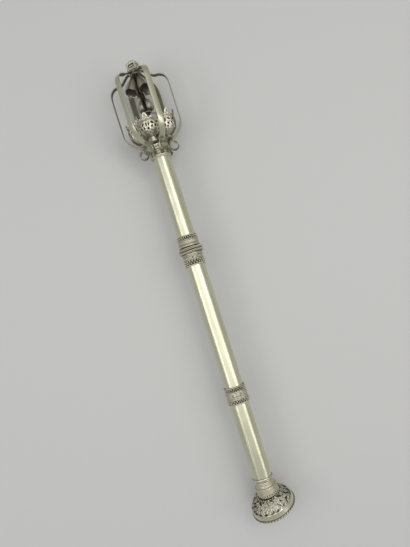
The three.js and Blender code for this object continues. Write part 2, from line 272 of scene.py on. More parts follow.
# pierced sheet ------------------------------------------------------------
def pierced(field, point, nu, nv, wrap_u, dark, thick):
    """A sheet over a grid, kept where field > 0, with clean edges on the line
    field = 0. point(u, v, side) gives the outer (0) and inner (1) skin. u, v
    are grid coordinates, and the result is one closed shell."""
    F = field
    cell = []
    index, verts = {}, []

    def corner(i, j):
        k = (i % nu if wrap_u else i, j)
        if k not in index:
            index[k] = len(verts)
            verts.append((float(k[0]), float(j)))
        return index[k]

    def cross(i, j, i2, j2, fa, fb):
        a = (i % nu if wrap_u else i, j)
        b = (i2 % nu if wrap_u else i2, j2)
        k = (a, b) if a < b else (b, a)
        if k not in index:
            t = fa / (fa - fb)
            t = min(max(t, 0.04), 0.96)
            index[k] = len(verts)
            verts.append((i + (i2 - i) * t, j + (j2 - j) * t))
        return index[k]

    for i in range(nu if wrap_u else nu - 1):
        i1 = i + 1
        w = i1 % nu
        for j in range(nv - 1):
            f = (F[i, j], F[w, j], F[w, j + 1], F[i, j + 1])
            if f[0] <= 0 and f[1] <= 0 and f[2] <= 0 and f[3] <= 0:
                continue
            c = ((i, j), (i1, j), (i1, j + 1), (i, j + 1))
            if f[0] > 0 and f[1] > 0 and f[2] > 0 and f[3] > 0:
                cell.append([corner(*q) for q in c])
                continue
            pos = [q > 0 for q in f]
            if pos == [True, False, True, False] or pos == [False, True, False, True]:
                # two corners that only touch: keep them apart
                for k in (0, 2) if pos[0] else (1, 3):
                    p, n = (k - 1) % 4, (k + 1) % 4
                    cell.append(
                        [cross(*c[p], *c[k], f[p], f[k]), corner(*c[k]), cross(*c[k], *c[n], f[k], f[n])]
                    )
                continue
            poly = []
            for k in range(4):
                n = (k + 1) % 4
                if pos[k]:
                    poly.append(corner(*c[k]))
                if pos[k] != pos[n]:
                    poly.append(cross(*c[k], *c[n], f[k], f[n]))
            cell.append(poly)
    tris = []
    for p in cell:
        for k in range(1, len(p) - 1):
            tris.append((p[0], p[k], p[k + 1]))
    tris = np.array(tris)
    uv = np.array(verts)
    n = len(uv)
    outer, inner = point(uv[:, 0], uv[:, 1])
    edges = np.concatenate([tris[:, [0, 1]], tris[:, [1, 2]], tris[:, [2, 0]]])
    key = np.sort(edges, 1)
    code = key[:, 0].astype(np.int64) * n + key[:, 1]
    _, inv, cnt = np.unique(code, return_inverse=True, return_counts=True)
    rim = edges[cnt[inv] == 1]
    walls = np.concatenate(
        [np.stack([rim[:, 1], rim[:, 0], rim[:, 0] + n], 1), np.stack([rim[:, 1], rim[:, 0] + n, rim[:, 1] + n], 1)]
    )
    faces = np.concatenate([tris, tris[:, ::-1] + n, walls])
    d = dark(uv[:, 0], uv[:, 1])
    # the inner skin is painted full shade (1.0)
    return closed(np.concatenate([outer, inner]), faces, np.concatenate([d, np.full(n, 1.0)]))


def sample(grid, u, v, wrap_u=True):
    """bilinear read of a grid at fractional places"""
    nu, nv = grid.shape
    i0 = np.floor(u).astype(int)
    j0 = np.clip(np.floor(v).astype(int), 0, nv - 2)
    tu, tv = u - i0, v - j0
    i1 = i0 + 1
    if wrap_u:
        i0, i1 = i0 % nu, i1 % nu
    else:
        i0, i1 = np.clip(i0, 0, nu - 1), np.clip(i1, 0, nu - 1)
    return (grid[i0, j0] * (1 - tv) + grid[i0, j0 + 1] * tv) * (1 - tu) + (
        grid[i1, j0] * (1 - tv) + grid[i1, j0 + 1] * tv
    ) * tu


def ellipse(dx, dy, a, b, turn):
    """rough distance in mm to a slanted oval opening, under 0 inside it"""
    c, s = math.cos(turn * RAD), math.sin(turn * RAD)
    x, y = dx * c + dy * s, -dx * s + dy * c
    k = np.sqrt((x / a) ** 2 + (y / b) ** 2)
    return (k - 1) * min(a, b) * (0.5 + 0.5 * np.clip(k, 0, 1)) + (k > 1) * (k - 1) * 0.15


# ------------------------------------------------------------ materials
def silver(name, base, rough, tarnish_and_shade, brushed=0.0, mottle=0.5, scratch=0.3, bump=0.25, dull=0.25):
    m = bpy.data.materials.new(name)
    m.use_nodes = True
    nt = m.node_tree
    nt.nodes.clear()

    def node(kind, **kw):
        n = nt.nodes.new(kind)
        for k, v in kw.items():
            setattr(n, k, v)
        return n

    def link(a, b):
        nt.links.new(a, b)

    def value(n, key, v):
        n.inputs[key].default_value = v

    def noise(vec, scale, detail=3.0, roughness=0.55):
        n = node("ShaderNodeTexNoise")
        link(vec, n.inputs["Vector"])
        value(n, "Scale", scale)
        value(n, "Detail", detail)
        value(n, "Roughness", roughness)
        return n.outputs["Fac"]

    def ramp(src, lo, hi, out_lo=0.0, out_hi=1.0):
        n = node("ShaderNodeMapRange")
        link(src, n.inputs["Value"])
        value(n, "From Min", lo)
        value(n, "From Max", hi)
        value(n, "To Min", out_lo)
        value(n, "To Max", out_hi)
        return n.outputs["Result"]

    def math_(op, a, b):
        n = node("ShaderNodeMath", operation=op)
        for i, x in enumerate((a, b)):
            if isinstance(x, (int, float)):
                n.inputs[i].default_value = x
            else:
                link(x, n.inputs[i])
        return n.outputs[0]

    def mix(fac, a, b):
        n = node("ShaderNodeMix", data_type="RGBA")
        if isinstance(fac, (int, float)):
            n.inputs[0].default_value = fac
        else:
            link(fac, n.inputs[0])
        for i, x in ((6, a), (7, b)):
            if isinstance(x, tuple):
                n.inputs[i].default_value = (*x, 1)
            else:
                link(x, n.inputs[i])
        return n.outputs[2]

    co = node("ShaderNodeTexCoord").outputs["Object"]
    # patches of duller metal, and fine mottling
    patch = ramp(noise(co, 38, 4), 0.42, 0.68)
    fine = ramp(noise(co, 420, 4), 0.35, 0.7)
    green = tuple(x * k for x, k in zip(base, (0.80, 0.84, 0.78)))
    warm = tuple(min(1, x * k) for x, k in zip(base, (1.05, 1.02, 0.93)))
    colour = mix(math_("MULTIPLY", patch, mottle), base, green)
    colour = mix(math_("MULTIPLY", fine, 0.35 * mottle), colour, warm)
    # lengthwise polishing lines
    stretch = node("ShaderNodeMapping")
    link(co, stretch.inputs["Vector"])
    stretch.inputs["Scale"].default_value = (1, 0.03, 1)
    lines = noise(stretch.outputs["Vector"], 1600, 3, 0.6)
    # stray scratches
    slant = node("ShaderNodeMapping")
    link(co, slant.inputs["Vector"])
    slant.inputs["Rotation"].default_value = (0.3, 0.2, 0.5)
    slant.inputs["Scale"].default_value = (1, 0.06, 1)
    scr = ramp(noise(slant.outputs["Vector"], 700, 2, 0.5), 0.63, 0.70)
    # tarnish and painted shade from the points' dark attribute: hollows, inner faces and shaded places go towards this
    # near-black colour
    att = node("ShaderNodeAttribute", attribute_name="dark", attribute_type="GEOMETRY")
    grime_and_shade = math_("MULTIPLY", att.outputs["Fac"], ramp(noise(co, 900, 3), 0.25, 0.6, 0.75, 1.0))
    grime_and_shade = ramp(grime_and_shade, 0.05, 0.75)
    colour = mix(grime_and_shade, colour, tarnish_and_shade)
    r = ramp(patch, 0, 1, rough, rough + 0.10 * mottle)
    r = math_("ADD", r, math_("MULTIPLY", ramp(lines, 0.3, 0.7, -0.5, 0.5), 0.14 * brushed))
    r = math_("ADD", r, math_("MULTIPLY", scr, 0.12 * scratch))
    r = math_("ADD", r, math_("MULTIPLY", grime_and_shade, dull))
    h = math_("MULTIPLY", lines, brushed)
    h = math_("ADD", h, math_("MULTIPLY", scr, -0.6 * scratch))
    h = math_("ADD", h, math_("MULTIPLY", noise(co, 1300, 3), 0.5))
    b = node("ShaderNodeBump")
    link(h, b.inputs["Height"])
    value(b, "Strength", bump)
    value(b, "Distance", 0.00012)
    p = node("ShaderNodeBsdfPrincipled")
    value(p, "Metallic", 1.0)
    link(colour, p.inputs["Base Color"])
    link(r, p.inputs["Roughness"])
    link(b.outputs["Normal"], p.inputs["Normal"])
    out = node("ShaderNodeOutputMaterial")
    link(p.outputs["BSDF"], out.inputs["Surface"])
    return m


# near-black colour of tarnish and painted shade in hollows and shaded places; the shaft and strap materials are given
# their own
TARNISH_AND_SHADE = (0.030, 0.026, 0.015)
SHAFT = silver("shaft_silver", (0.68, 0.67, 0.50), 0.30, (0.10, 0.10, 0.06), brushed=0.8, mottle=0.45, scratch=0.5, bump=0.22)
STRAP = silver("strap_silver", (0.60, 0.59, 0.45), 0.34, (0.09, 0.085, 0.05), brushed=0.9, mottle=0.6, scratch=0.8, bump=0.3)
CAST = silver("cast_silver", (0.66, 0.62, 0.50), 0.34, TARNISH_AND_SHADE, brushed=0.0, mottle=0.6, scratch=0.2, bump=0.35)
PIERCED = silver("pierced_silver", (0.74, 0.70, 0.57), 0.34, TARNISH_AND_SHADE, brushed=0.0, mottle=0.7, scratch=0.2, bump=0.35)

# ------------------------------------------------------------ shaft
WALL = 0.9


def shaft_tube(name, y0, y1, r, seed, dents=()):
    ny, nth = max(24, int((y1 - y0) / 2.6)), 96
    th = np.arange(nth) / nth * TAU
    y = np.linspace(y0, y1, ny)
    T, Y = np.meshgrid(th, y, indexing="ij")
    h = 0.045 * smooth_noise(T.shape, (5, max(3, int((y1 - y0) / 22))), seed, True)
    h += 0.02 * smooth_noise(T.shape, (14, max(3, int((y1 - y0) / 8))), seed + 40, True)
    for az, yy, w, d in dents:
        dx = ((T - az * RAD + math.pi) % TAU - math.pi) * r
        h -= d * np.exp(-(dx * dx + (Y - yy) ** 2) / (2 * w * w))
    h *= np.clip(np.minimum(Y - y0, y1 - Y) / 4, 0, 1)
    ro = r + h
    ri = np.full_like(ro[:, :2], r - WALL)
    out = np.stack([ro * np.sin(T), Y, ro * np.cos(T)], -1)
    ys = np.array([y1, y0])
    inn = np.stack([ri * np.sin(th)[:, None], np.broadcast_to(ys, ri.shape), ri * np.cos(th)[:, None]], -1)
    v = np.concatenate([out, inn], 1).reshape(-1, 3)
    # darkening where the tube meets a collar, multiplied by zero so none is added
    e = np.exp(-np.minimum(Y - y0, y1 - Y) / 1.2) * 0.0
    # the tube's inside and the inner edges of its ends get a painted shade of 0.8
    d = np.concatenate([e, np.full((nth, 2), 0.8)], 1).reshape(-1)
    make(name, [closed(v, grid_faces(nth, ny + 2, True, True), d)], SHAFT, [name])


shaft_tube("shaft_tube_lower", 0, 99.2, 10.95, 11, [(-30, 52, 5, 0.10), (24, 22, 4, 0.07), (10, 78, 3.2, 0.09)])
shaft_tube("shaft_tube_middle", 99.5, 271.2, 10.75, 12, [(18, 150, 6, 0.10), (-25, 205, 5, 0.09), (5, 236, 4, 0.08), (33, 186, 3.5, 0.08)])
shaft_tube("shaft_tube_upper", 271.5, 386.9, 10.35, 13, [(-20, 330, 5, 0.09), (22, 365, 4, 0.07), (15, 302, 3.5, 0.08)])


def end_ring(T, Y):
    return cord(Y, 2.4, 1.3, 0.75) - 0.12 * (np.abs(Y - 2.4) < 0.18)


make(
    "shaft_end_ring",
    [sleeve([(1.0, 11.3), (3.8, 11.3)], 11.15, end_ring, 24, 128, depth=0.5)],
    CAST,
    ["shaft_end_ring"],
)


# ------------------------------------------------------------ knots
def lower_knot(T, Y):
    h = np.zeros_like(T)
    # upper border: small beads between two wires
    h = np.maximum(h, wire(T, Y, 108.75, 0.75, 0.75, 52, 1))
    h = np.maximum(h, beads(T, Y, 106.9, 1.0, 27, 12.0))
    h = np.maximum(h, beads(T, Y, 105.0, 0.85, 27, 12.0, 0.5))
    h = np.maximum(h, wire(T, Y, 103.55, 0.65, 0.55, 60, -1))
    # waist: upright filigree wires with rosettes on them
    waist = (Y > 95.9) & (Y < 102.9)
    ribs = 0.20 * np.abs(np.cos(T * 34)) ** 0.5
    h = np.maximum(h, np.where(waist, ribs, 0))
    for k in range(8):
        h = np.maximum(h, rosette(T, Y, (k * 45 + 22) * RAD, 99.4, 12.0, 2.3))
        h = np.maximum(h, beads(T, Y, 99.4, 0.0001, 1, 12.0))
    for k in range(8):
        for yy in (97.3, 99.4, 101.5):
            dx = ((T - k * 45 * RAD + math.pi) % TAU - math.pi) * 12
            h = np.maximum(h, np.sqrt(np.clip(0.72**2 - dx * dx - (Y - yy) ** 2, 0, None)))
    # lower border: two rows of bigger granules
    h = np.maximum(h, wire(T, Y, 95.2, 0.65, 0.55, 60, 1))
    h = np.maximum(h, beads(T, Y, 93.4, 1.1, 24, 12.2))
    h = np.maximum(h, beads(T, Y, 91.5, 0.95, 24, 12.2, 0.5))
    h = np.maximum(h, wire(T, Y, 89.95, 0.75, 0.7, 50, -1))
    return h


make(
    "lower_knot_collar",
    [
        sleeve(
            [(89.2, 12.0), (91, 12.15), (94.5, 12.1), (95.6, 11.8), (99.4, 12.0), (103, 11.75), (104, 11.7), (109.5, 11.6)],
            11.25,
            lower_knot,
            128,
            320,
            seed=3,
            dent=0.06,
        )
    ],
    CAST,
    ["lower_knot_collar"],
)


def upper_low(T, Y):
    h = np.zeros_like(T)
    h = np.maximum(h, cord(Y, 266.7, 0.9, 0.65))
    h = np.maximum(h, wire(T, Y, 265.2, 0.6, 0.5, 62, 1))
    for k in range(14):
        dx = ((T - k * TAU / 14 + math.pi) % TAU - math.pi) * 11.6
        d = np.abs(np.hypot(dx, Y - 262.6) - 1.6)
        h = np.maximum(h, np.sqrt(np.clip(0.42**2 - d * d, 0, None)))
        h = np.maximum(h, 0.6 * np.sqrt(np.clip(0.6**2 - dx * dx - (Y - 262.6) ** 2, 0, None)))
    h = np.maximum(h, wire(T, Y, 260.1, 0.55, 0.5, 62, -1))
    h = np.maximum(h, beads(T, Y, 258.4, 1.15, 22, 11.6, 0.15))
    h = np.maximum(h, beads(T, Y, 256.2, 1.10, 22, 11.6, 0.65))
    h = np.maximum(h, wire(T, Y, 254.1, 0.85, 0.75, 48, 1))
    return h


make(
    "upper_knot_lower_collar",
    [
        sleeve(
            [(253.2, 11.35), (255, 11.35), (259.5, 11.4), (260.5, 11.45), (265, 11.5), (267.6, 11.4)],
            11.05, upper_low, 100, 320, seed=4, dent=0.05,
        )
    ],
    CAST, ["upper_knot_lower_collar"],
)


def upper_top(T, Y):
    h = np.zeros_like(T)
    h = np.maximum(h, wire(T, Y, 288.35, 0.65, 0.6, 56, 1))
    h = np.maximum(h, beads(T, Y, 286.5, 1.0, 26, 11.4))
    h = np.maximum(h, beads(T, Y, 284.7, 0.8, 26, 11.4, 0.5))
    h = np.maximum(h, wire(T, Y, 283.4, 0.5, 0.45, 60, -1))
    sel = (Y > 279.4) & (Y < 282.7)
    # flutes on half of the smooth band, worn flat on the rest
    fade = 0.5 + 0.5 * np.cos(T - 60 * RAD)
    h = np.maximum(h, np.where(sel, 0.24 * fade * np.abs(np.cos(T * 26)) ** 0.6, 0))
    for k, c in enumerate((279.6, 280.9, 282.2)):
        h = np.maximum(h, beads(T, Y, c, 0.62, 40, 11.6, 0.5 * (k % 2), 0.4))
    h = np.maximum(h, wire(T, Y, 278.5, 0.45, 0.4, 60, 1))
    h = np.maximum(h, cord(Y, 276.9, 1.35, 0.95) - 0.16 * (np.abs(Y - 276.9) < 0.2))
    return h


make(
    "upper_knot_upper_collar",
    [
        sleeve(
            [(275.3, 11.35), (278.4, 11.4), (281, 11.6), (283.6, 11.35), (289.0, 11.25)],
            11.05, upper_top, 96, 320, seed=5, dent=0.07,
        )
    ],
    CAST, ["upper_knot_upper_collar"],
)


def rope(T, Y):
    # two wires twisted opposite ways, side by side, so their turns meet in a herringbone
    t1, t2 = (Y - 269.75) / 1.68, (Y - 273.15) / 1.68
    out = np.zeros_like(T)
    for t, lean, ph in ((t1, 1, 0.0), (t2, 1, 1.2)):
        u = np.clip(t, -1, 1)
        body = np.sqrt(1 - u * u)
        g = np.abs(np.cos(0.5 * (26 * T + lean * 3.4 * u + ph)))
        out = np.maximum(out, 1.95 * body * (0.30 + 0.70 * g**0.6))
    return out


make(
    "upper_knot_rope_ring",
    [sleeve([(268.0, 12.6), (274.9, 12.6)], 11.05, rope, 60, 420, seed=6, dent=0.1, depth=0.4)],
    CAST, ["upper_knot_rope_ring"],
)


# ------------------------------------------------------------ neck
def head_collar():
    pts = [
        (383.7, 10.75), (384.0, 11.0), (387.3, 11.0), (388.2, 10.75), (390, 10.6), (391.9, 10.3),
        (393.3, 9.75), (394.2, 9.7), (395.6, 10.2), (397.2, 11.3), (398.3, 11.8), (399.2, 11.8),
        (400.0, 10.6), (401.2, 8.0), (402.6, 6.1), (404.6, 4.3), (406.6, 3.3), (408.6, 3.0),
    ]
    py, pr = np.array(pts).T
    y = np.concatenate([np.linspace(383.7, 400, 84), np.linspace(400.3, 408.6, 22)])
    base = np.interp(y, py, pr)
    nth = 256
    th = np.arange(nth) / nth * TAU
    T, Y = np.meshgrid(th, y, indexing="ij")
    h = np.maximum(0, wire(T, Y, 384.6, 0.7, 0.55, 50, 1))
    h = np.maximum(h, cord(Y, 386.3, 0.95, 0.6))
    h = np.maximum(h, wire(T, Y, 392.6, 0.6, 0.5, 46, -1))
    s = np.clip((Y - 393.6) / 2.2, 0, 1) * np.clip((400.0 - Y) / 0.7, 0, 1)
    gad = np.abs(np.cos(T * 9 + 0.4)) ** 0.55
    h = h + s * (0.5 * gad - 0.4)
    # tarnish and painted shade in the relief's hollows, a painted shadow band in the waist under the swelling (393.7),
    # a painted shadow line in the crease above the cord (387.6)
    dark = 0.6 * hollows(h, TAU * 10.5 / nth, 0.2, depth=0.5)
    dark = np.maximum(dark, 0.7 * np.exp(-((Y - 393.7) / 0.6) ** 2))
    dark = np.maximum(dark, 0.5 * np.exp(-((Y - 387.6) / 0.25) ** 2))
    r = base[None, :] + h
    p = np.stack([r * np.sin(T), Y, r * np.cos(T)], -1)
    ri, sock = 10.65, 387.2
    lo = np.stack([ri * np.sin(th), np.full(nth, 383.7), ri * np.cos(th)], -1)
    up = np.stack([ri * np.sin(th), np.full(nth, sock), ri * np.cos(th)], -1)
    p = np.concatenate([up[:, None], lo[:, None], p], 1)
    n = p.shape[1]
    v = np.concatenate([p.reshape(-1, 3), [[0, sock, 0], [0, 408.6, 0]]])
    i = np.arange(nth)
    j = (i + 1) % nth
    a, b = nth * n, nth * n + 1
    f = np.concatenate(
        [as_tris(grid_faces(nth, n, True)), np.stack([j * n, i * n, np.full(nth, a)], 1), np.stack([i * n + n - 1, j * n + n - 1, np.full(nth, b)], 1)]
    )
    # the socket's inside and the end points are painted shade
    d = np.concatenate([np.concatenate([np.full((nth, 2), 0.7), dark], 1).reshape(-1), [0.7, 0.5]])
    make("head_collar", [closed(v, f, d)], CAST, ["head_collar"])


head_collar()


# ------------------------------------------------------------ stem and bulb
def stem():
    b0, b1, rb = 440.5, 456.0, 10.2
    ys = list(np.linspace(408.9, 438.8, 30))
    rs = [3.0] * 30
    ys += [439.3, 440.5]
    rs += [3.1, 4.6]
    n = 40
    for i in range(1, n):
        t = i / n
        ys.append(b0 + (b1 - b0) * t)
        rs.append(4.4 + (rb - 4.4) * math.pow(math.sin(math.pi * math.pow(t, 0.82)), 0.75))
    ys += [456.0, 456.6, 457.4, 458.5, 462, 466, 470, 474, 478, 482, 486.1]
    rs += [4.1, 3.6, 3.2, 3.0, 2.8, 2.6, 2.6, 2.9, 3.2, 3.2, 3.2]

    def warp(T, Y, r):
        inside = (Y > b0 + 0.3) & (Y < b1 - 0.2)
        k = 1 - 0.24 * np.abs(np.cos(2 * (T + 3 * RAD))) ** 9
        r = np.where(inside, r * k, r)
        # a raised curl on each lobe
        for c in (-28, 34, 124, 214):
            dx = ((T - c * RAD + math.pi) % TAU - math.pi) * 9.0
            dy = Y - 449.5
            d = np.hypot(dx, dy)
            ang = np.arctan2(dy, dx)
            curl = np.exp(-(((d - 1.4 - 0.32 * (ang + math.pi)) / 0.5) ** 2))
            r = r + np.where(inside & (d < 4.2), 0.42 * curl, 0)
        # cord turns on the rod
        rod = (Y < 438.5) | (Y > 458.5)
        return r + np.where(rod, 0.22 * np.cos(Y * 2.4 + T * 2), 0)

    # painted shade: the whole stem a little dark, much darker in the grooves between the bulb's lobes, on the rods
    # inside the cage, and a painted shadow band over the bulb's top (456.3)
    def dark(T, Y, r):
        k = np.abs(np.cos(2 * (T + 3 * RAD))) ** 7
        d = 0.22 + 0.78 * k * ((Y > b0) & (Y < b1))
        d = np.where((Y < 439.5) | (Y > 455.5), 0.75, d)
        return np.maximum(d, 0.8 * np.exp(-(((Y - 456.3) / 1.2) ** 2)))

    s = solid_of_turn(list(zip(ys, rs)), 144, warp, dark)
    parts = [s]
    # a ring of granules under the bulb
    for k in range(12):
        a = k / 12 * TAU
        # the granules get a slight painted shade (0.15)
        parts.append(ball((4.4 * math.sin(a), 440.6, 4.4 * math.cos(a)), 0.95, dark=0.15))
    make("central_stem", parts, CAST, ["central_stem"])


stem()

# ------------------------------------------------------------ calyx cups
CUP_CROWN, CUP_FLEURON, CUP_WALL = 27.2, 4.6, 1.0
# openings of one quarter of the cup: across, height over the tip, half-axes, turn
CUP_HOLES = [
    (-1.4, 18.5, 0.75, 2.5, 8), (1.4, 18.5, 0.75, 2.5, -8),
    (-6.0, 19.3, 2.1, 1.0, 28), (6.0, 19.3, 2.1, 1.0, -28),
    (0.0, 13.9, 1.25, 1.5, 0),
    (-4.7, 15.2, 1.05, 1.05, 0), (4.7, 15.2, 1.05, 1.05, 0),
    (8.6, 15.4, 1.1, 1.4, 0), (-8.6, 15.4, 1.1, 1.4, 0),
    (-3.1, 11.7, 0.85, 0.85, 0), (3.1, 11.7, 0.85, 0.85, 0),
    (0.0, 9.8, 0.7, 0.8, 0),
]
CROWN_HOLES = [(0.0, 28.2, 0.85, 1.05, 0), (-3.9, 26.2, 0.7, 0.7, 0), (3.9, 26.2, 0.7, 0.7, 0), (-1.9, 26.0, 0.5, 0.5, 0), (1.9, 26.0, 0.5, 0.5, 0)]


def cup_mesh(r_belly, stalk, fine, seed):
    k, d = r_belly / 11.3, stalk - 5.6
    prof = [
        (0.0, 0.35), (0.5, 1.9), (0.9, 2.6), (1.6, 2.85), (stalk, 2.8), (6.6 + d, 4.4), (8.3 + d, 6.6), (11.4 + d * 0.85, 9.6),
        (13.8 + d * 0.6, 10.8), (16.4 + d * 0.4, 11.3), (19, 11.35), (21.2, 11.1), (22.6, 10.75), (25, 11.05), (27.2, 11.6), (32.2, 12.15),
    ]
    prof = sorted(prof)
    ps, pr = np.array(prof).T
    keep = np.concatenate([[True], np.diff(ps) > 0.15])
    ps, pr = ps[keep], pr[keep] * k
    nu, nv = (192, 96) if fine else (150, 76)
    s = np.concatenate([np.linspace(0, 8, nv // 5), np.linspace(8, 32.2, nv - nv // 5 + 1)[1:]])
    nv = len(s)
    r = np.interp(s, ps, pr)
    # soften the corners of the outline
    for _ in range(3):
        r[1:-1] = 0.25 * r[:-2] + 0.5 * r[1:-1] + 0.25 * r[2:]
    th = np.arange(nu) / nu * TAU
    T, S = np.meshgrid(th, s, indexing="ij")
    R = np.broadcast_to(r, T.shape)
    per = TAU / 4
    loc = (T + per / 2) % per - per / 2
    X = loc * R
    f = np.full(T.shape, 9.0)
    for hx, hs, a, b, turn in CUP_HOLES:
        hs2 = hs + d * 0.35 if hs < 17 else hs
        f = np.minimum(f, ellipse(X - hx, S - hs2, a, b, turn))
    per = TAU / 6
    loc = (T + per / 2) % per - per / 2
    X = loc * R
    for hx, hs, a, b, turn in CROWN_HOLES:
        f = np.minimum(f, ellipse(X - hx, S - hs, a, b, turn))
    holes = f.copy()
    t = np.abs(X) / 3.3
    tall = (CUP_FLEURON + 1.6) * np.clip(1 - t**2.4, 0, None) ** 0.75
    side = 1.5 * np.clip(1 - ((np.abs(X) - 4.7) / 1.45) ** 2, 0, None) ** 0.5
    top = CUP_CROWN - 1.6 + np.maximum(tall, side)
    f = np.minimum(f, (top - S) * 0.8)
    # relief: rims round the openings, a double-grooved band, a worn ground between
    rim = np.exp(-(((holes - 0.42) / 0.34) ** 2)) * (S > 8)
    band = sum(np.exp(-(((S - c) / 0.42) ** 2)) for c in (22.1, 23.35, 24.6))
    grain = np.sqrt(np.clip(0.5 - ((X * 0 + ((T / TAU * 40) % 1 - 0.5) * TAU / 40 * R) ** 2 + (S - 21.0) ** 2), 0, None))
    h = 0.34 * rim + 0.42 * band + 0.5 * grain * (S < 22)
    h += 0.05 * smooth_noise(h.shape, (24, 14), seed, True)
    # tarnish and painted shade on the ground away from the openings and in the band's grooves, painted shade in bands
    # on the stalk under the cup, none on the cut edges
    zone = (S > 21.6) & (S < 25.1)
    dk = np.clip((holes - 1.0) / 0.9, 0, 1) * 0.30 * (~zone)
    dk = np.where(zone, np.clip(0.75 - band * 1.1, 0, 1), dk)
    dk = np.where(S < 8 + d, np.maximum(dk * 0.4, 0.25 + 0.2 * np.cos(S * 4)), dk)
    dk = np.where(f < 0.35, 0.0, dk)
    nr, ns = np.gradient(r, s), None
    nlen = np.sqrt(1 + nr**2)

    def point(u, v):
        tt = u / nu * TAU
        ss = np.interp(v, np.arange(nv), s)
        rr = np.interp(v, np.arange(nv), r)
        slope = np.interp(v, np.arange(nv), nr)
        q = np.sqrt(1 + slope**2)
        hh = sample(h, u, v)
        ro, so = rr + hh / q, ss - hh * slope / q
        wall = np.minimum(CUP_WALL, rr * 0.55)
        ri, si = rr - wall / q, ss + wall * slope / q
        si = np.minimum(si, ss + 1.2)
        ri = np.maximum(ri, 0.05)
        ro = np.maximum(ro, 0.1)
        o = np.stack([ro * np.sin(tt), so, ro * np.cos(tt)], 1)
        i = np.stack([ri * np.sin(tt), si, ri * np.cos(tt)], 1)
        return o, i

    return pierced(f, point, nu, nv, True, lambda u, v: sample(dk, u, v), CUP_WALL)


def turn_y(v, a):
    c, s = math.cos(a * RAD), math.sin(a * RAD)
    return np.stack([v[:, 0] * c + v[:, 2] * s, v[:, 1], -v[:, 0] * s + v[:, 2] * c], 1)


def turn_x(v, a):
    c, s = math.cos(a * RAD), math.sin(a * RAD)
    return np.stack([v[:, 0], v[:, 1] * c - v[:, 2] * s, v[:, 1] * s + v[:, 2] * c], 1)


CUPS = {
    "calyx_cup_front": (-7.6, 401.0, 14.3, 8, 11.6, 5.6, True),
    "calyx_cup_right": (82.4, 403.6, 16.1, 3, 11.3, 2.2, True),
    "calyx_cup_back": (172.4, 402.4, 16.0, 4, 11.2, 4.0, False),
    "calyx_cup_left": (-97.6, 403.2, 16.1, 3, 11.3, 2.2, True),
}
for name, (az, y, rho, lean, rb, stalk, fine) in CUPS.items():
    v, f, d = cup_mesh(rb, stalk, fine, 21)
    parts = [(v, f, d)]
    # granules round the tip
    for i in range(7):
        a = i / 7 * TAU
        # the granules get a slight painted shade (0.1)
        parts.append(ball((2.5 * math.sin(a), 1.3, 2.5 * math.cos(a)), 0.8, dark=0.1))
    parts.append(ball((0, 0.75, 0), 1.5, 10, 8, dark=0.1, squash=0.5))
    placed = []
    for v, f, d in parts:
        w = turn_x(v, lean)
        w = w + np.array([0, y, rho])
        placed.append((turn_y(w, az), f, d))
    make(name, placed, PIERCED, [name])


# ------------------------------------------------------------ bell flowers
def bell_part(seed):
    h, rm, w = 21.0, 7.4, 0.9
    nth, n = 84, 34
    t = np.linspace(0, 1, n)
    prof_r = rm * (0.36 + 0.64 * np.cos(t * math.pi / 2) ** 0.85) * (1 - 0.12 * t)
    prof_y = h * 0.86 * t
    r = np.concatenate([prof_r, [2.2, 1.5, 0.7]])
    y = np.concatenate([prof_y, [h * 0.9, h * 0.95, h * 0.985]])
    th = np.arange(nth) / nth * TAU
    T, Y = np.meshgrid(th, y, indexing="ij")
    petal = np.abs(np.cos(2.5 * T))
    k = np.clip(1 - Y / 12, 0, 1)
    R = r[None, :] * (1 + 0.05 * k * (petal - 0.5))
    R = R - 0.22 * np.exp(-((np.abs(np.cos(2.5 * T)) / 0.12) ** 2)) * np.clip(1 - Y / 17, 0, 1)
    Yo = Y - 1.1 * np.clip(1 - Y / 5, 0, 1) * petal**1.5 + 0.5 * np.clip(1 - Y / 5, 0, 1)
    out = np.stack([R * np.sin(T), Yo, R * np.cos(T)], -1)
    m = 22
    Ri = np.maximum(R[:, :m] - w, 0.3)
    inn = np.stack([Ri * np.sin(T[:, :m]), Yo[:, :m] + np.linspace(0, 1.0, m), Ri * np.cos(T[:, :m])], -1)[:, ::-1]
    p = np.concatenate([inn, out], 1)
    c = p.shape[1]
    v = np.concatenate([p.reshape(-1, 3), [[0, inn[0, 0, 1] + 0.4, 0], [0, h, 0]]])
    i = np.arange(nth)
    j = (i + 1) % nth
    a, b = nth * c, nth * c + 1
    f = np.concatenate(
        [as_tris(grid_faces(nth, c, True)), np.stack([j * c, i * c, np.full(nth, a)], 1), np.stack([i * c + c - 1, j * c + c - 1, np.full(nth, b)], 1)]
    )
    # painted shade: the bell's inside 0.42 and the centre point of its mouth full dark, the outside a little dark with
    # more in the creases between petals; the outside also gets darker towards the tip
    dk = np.concatenate([np.full((nth, m), 0.42), 0.22 + 0.30 * np.exp(-((np.abs(np.cos(2.5 * T)) / 0.2) ** 2)) + 0.5 * np.clip((Y - 15) / 5, 0, 1)], 1)
    return v, f, np.concatenate([dk.reshape(-1), [1.0, 0.7]])


BELLS = {
    "bell_flower_front_left": (-52, 465.8, 13.4, 24),
    "bell_flower_front_right": (30, 465.6, 12.2, 21),
    "bell_flower_back_right": (122, 466.0, 13.0, 23),
    "bell_flower_back_left": (-142, 465.6, 13.0, 23),
}
for name, (az, y, rho, tilt) in BELLS.items():
    v, f, d = bell_part(1)
    w = turn_y(turn_x(v, -tilt) + np.array([0, y, rho]), az)
    make(name, [closed(w, f, d)], CAST, [name])

# ------------------------------------------------------------ straps
STRAP_W = 6.9
VOLUTE_RHO, VOLUTE_Y, VOLUTE_R = 18.6, 393.3, 4.6


